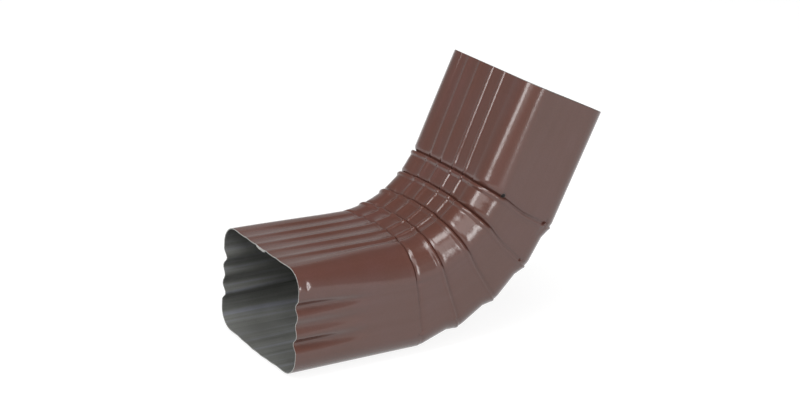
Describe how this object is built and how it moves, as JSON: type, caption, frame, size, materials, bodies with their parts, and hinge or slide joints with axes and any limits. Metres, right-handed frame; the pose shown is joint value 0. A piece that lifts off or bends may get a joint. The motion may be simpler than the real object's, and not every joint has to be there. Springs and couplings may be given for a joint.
{
  "type": "downspout elbow",
  "caption": "Corrugated rectangular downspout elbow folded from one painted sheet: two legs joined by a pleated bend, with a swaged lower end that slips into the next pipe.",
  "frame": {"origin": "middle of the lower (outlet) opening, half way between heel and throat", "axes": "+X along the lower leg into the bend, +Y across the wide faces, +Z from the heel (long side of the bend) to the throat (short side)"},
  "size_m": [0.2025, 0.0838, 0.1517],
  "materials": {
    "painted_sheet": "glossy brown baked paint outside, dull grey-green wash coat inside, bright cut edges"
  },
  "bodies": {
    "root": {"downspout_elbow": "painted_sheet"}
  },
  "joints": []
}
